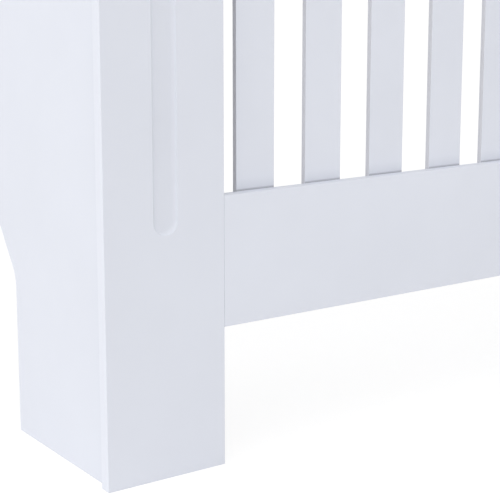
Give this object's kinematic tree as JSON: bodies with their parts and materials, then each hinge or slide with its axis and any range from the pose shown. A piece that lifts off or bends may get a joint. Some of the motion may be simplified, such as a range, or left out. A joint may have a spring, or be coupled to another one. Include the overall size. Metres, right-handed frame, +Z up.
{
  "type": "radiator cover cabinet",
  "caption": "Open-backed white painted fibreboard case over a radiator: flat top, sides cut out for the skirting, fluted front stiles, and upright slats between two rails.",
  "frame": {"origin": "on the floor, under the middle of the top panel", "axes": "+X to the cabinet's right as seen from the front, +Y towards the wall behind it, +Z up"},
  "size_m": [0.78, 0.19, 0.815],
  "materials": {
    "painted_board": "smooth fibreboard, satin cool white paint",
    "painted_slat": "thin fibreboard slat, satin cool white paint",
    "bare_batten": "planed softwood, bare",
    "dowel_wood": "beech, bare, ribbed",
    "joint_plastic": "moulded off-white plastic",
    "bracket_steel": "bright zinc plate",
    "screw_steel": "bright zinc plate"
  },
  "bodies": {
    "root": {"top_panel": "painted_board", "left_side_panel": "painted_board", "right_side_panel": "painted_board", "left_stile": "painted_board", "right_stile": "painted_board", "bottom_rail": "painted_board", "top_rail": "painted_board", "rear_stretcher": "painted_board", "slat_1": "painted_slat", "slat_2": "painted_slat", "slat_3": "painted_slat", "slat_4": "painted_slat", "slat_5": "painted_slat", "slat_6": "painted_slat", "slat_7": "painted_slat", "slat_8": "painted_slat", "slat_9": "painted_slat", "left_corner_batten": "bare_batten", "right_corner_batten": "bare_batten", "front_top_cleat": "bare_batten", "left_top_cleat": "bare_batten", "right_top_cleat": "bare_batten", "left_bottom_rail_dowel_lower": "dowel_wood", "left_bottom_rail_dowel_upper": "dowel_wood", "left_top_rail_dowel_lower": "dowel_wood", "left_top_rail_dowel_upper": "dowel_wood", "right_bottom_rail_dowel_lower": "dowel_wood", "right_bottom_rail_dowel_upper": "dowel_wood", "right_top_rail_dowel_lower": "dowel_wood", "right_top_rail_dowel_upper": "dowel_wood", "left_joint_block": "joint_plastic", "right_joint_block": "joint_plastic", "left_wall_bracket": "bracket_steel", "right_wall_bracket": "bracket_steel", "front_cleat_screw_left": "screw_steel", "front_cleat_screw_middle": "screw_steel", "front_cleat_screw_right": "screw_steel", "left_cleat_screw_front": "screw_steel", "left_cleat_screw_rear": "screw_steel", "right_cleat_screw_front": "screw_steel", "right_cleat_screw_rear": "screw_steel", "left_batten_screw_lower": "screw_steel", "left_batten_screw_middle": "screw_steel", "left_batten_screw_upper": "screw_steel", "right_batten_screw_lower": "screw_steel", "right_batten_screw_middle": "screw_steel", "right_batten_screw_upper": "screw_steel", "left_block_screw_side": "screw_steel", "left_block_screw_rear": "screw_steel", "right_block_screw_side": "screw_steel", "right_block_screw_rear": "screw_steel", "left_bracket_screw_front": "screw_steel", "left_bracket_screw_rear": "screw_steel", "right_bracket_screw_front": "screw_steel", "right_bracket_screw_rear": "screw_steel"}
  },
  "joints": []
}
